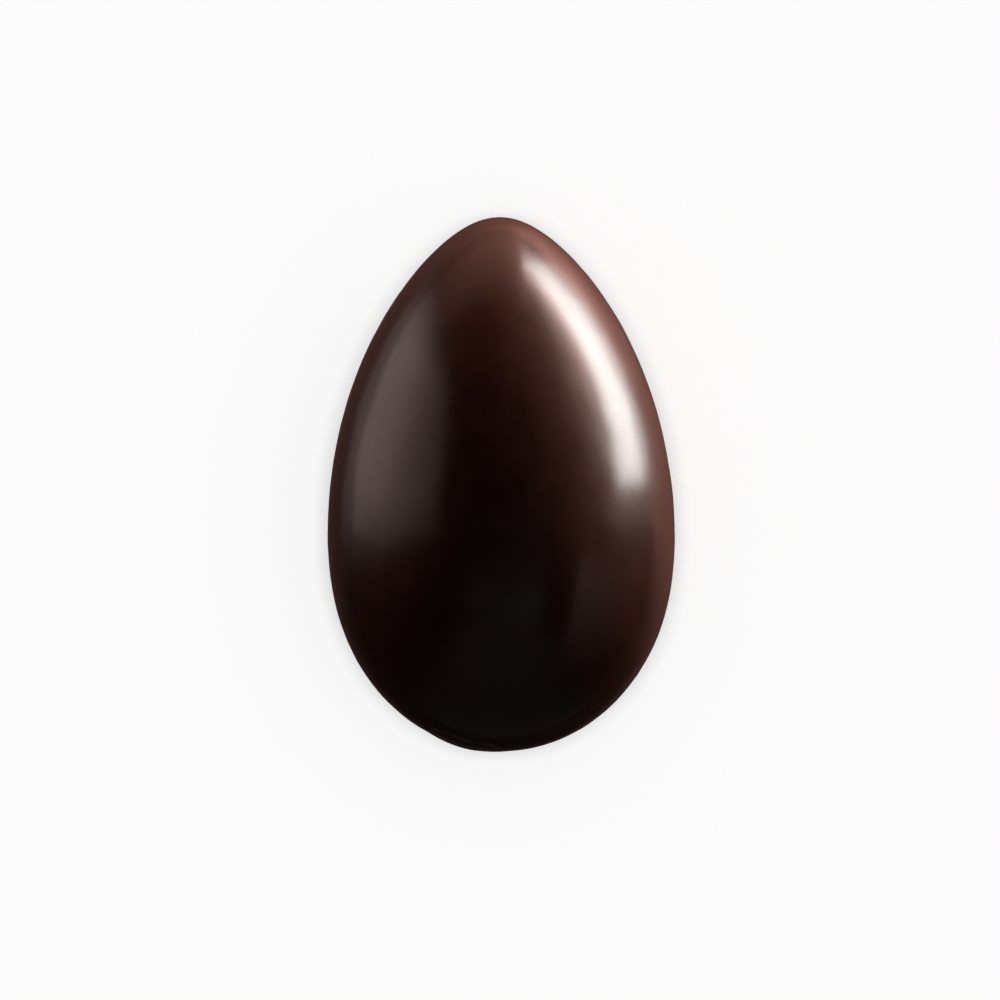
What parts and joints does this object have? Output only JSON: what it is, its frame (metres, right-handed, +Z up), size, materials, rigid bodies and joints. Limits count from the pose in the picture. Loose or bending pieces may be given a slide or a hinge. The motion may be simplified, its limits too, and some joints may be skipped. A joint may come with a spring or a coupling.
{
  "type": "chocolate egg",
  "caption": "Glossy dark chocolate egg moulded as two halves joined along a level seam, lying on its side as a sweet or display piece.",
  "frame": {"origin": "centre of the box on the floor, under the egg's middle", "axes": "+Z up, out of the shown half; +Y along the egg's long axis towards its pointed end; X across it"},
  "size_m": [0.1168, 0.1801, 0.1166],
  "materials": {
    "dark_chocolate": "glossy tempered dark chocolate, polished by its mould"
  },
  "bodies": {
    "root": {"upper_half": "dark_chocolate", "lower_half": "dark_chocolate"}
  },
  "joints": []
}
